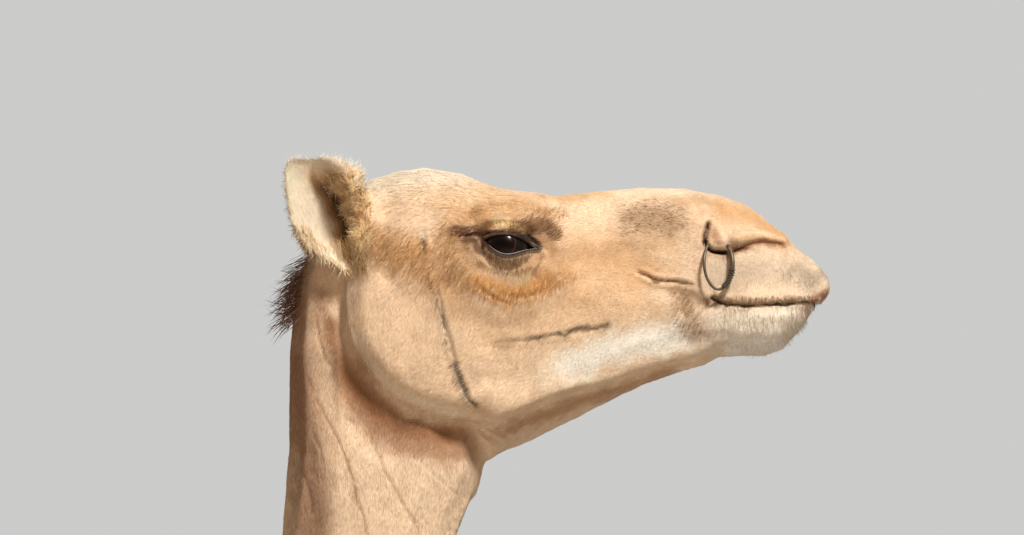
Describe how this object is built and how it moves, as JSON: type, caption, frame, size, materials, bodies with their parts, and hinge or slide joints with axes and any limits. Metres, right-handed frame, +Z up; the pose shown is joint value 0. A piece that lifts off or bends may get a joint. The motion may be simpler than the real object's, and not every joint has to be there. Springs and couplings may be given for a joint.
{
  "type": "standing dromedary camel",
  "caption": "Life-size standing one-humped camel with its head raised and turned straight ahead, a still museum-style animal wearing a thin wire ring in its right nostril.",
  "frame": {"origin": "on the floor under the middle of the animal's length and width", "axes": "+X forward to the muzzle, +Y to the animal's left, +Z up"},
  "size_m": [2.5014, 0.5942, 2.359],
  "materials": {
    "coat": "short pale sandy hair",
    "eye": "wet dark brown",
    "nail": "worn horn",
    "pad": "rough bare callus",
    "ring": "dull weathered wire",
    "winding": "grubby cord"
  },
  "bodies": {
    "root": {"ear_right": "coat", "ear_left": "coat", "head": "coat", "lower_jaw": "coat", "neck_upper": "coat", "neck_middle": "coat", "neck_base": "coat", "hump": "coat", "tail": "coat", "trunk": "coat", "nail_fore_right_outer": "nail", "nail_fore_right_inner": "nail", "foot_fore_right": "coat", "lower_leg_fore_right": "coat", "upper_leg_fore_right": "coat", "nail_fore_left_inner": "nail", "nail_fore_left_outer": "nail", "foot_fore_left": "coat", "lower_leg_fore_left": "coat", "upper_leg_fore_left": "coat", "nail_hind_right_outer": "nail", "nail_hind_right_inner": "nail", "foot_hind_right": "coat", "lower_leg_hind_right": "coat", "upper_leg_hind_right": "coat", "nail_hind_left_inner": "nail", "nail_hind_left_outer": "nail", "foot_hind_left": "coat", "lower_leg_hind_left": "coat", "upper_leg_hind_left": "coat", "eye_right": "eye", "eye_left": "eye", "breast_pad": "pad", "nose_ring": "ring", "ring_winding": "winding"}
  },
  "joints": []
}
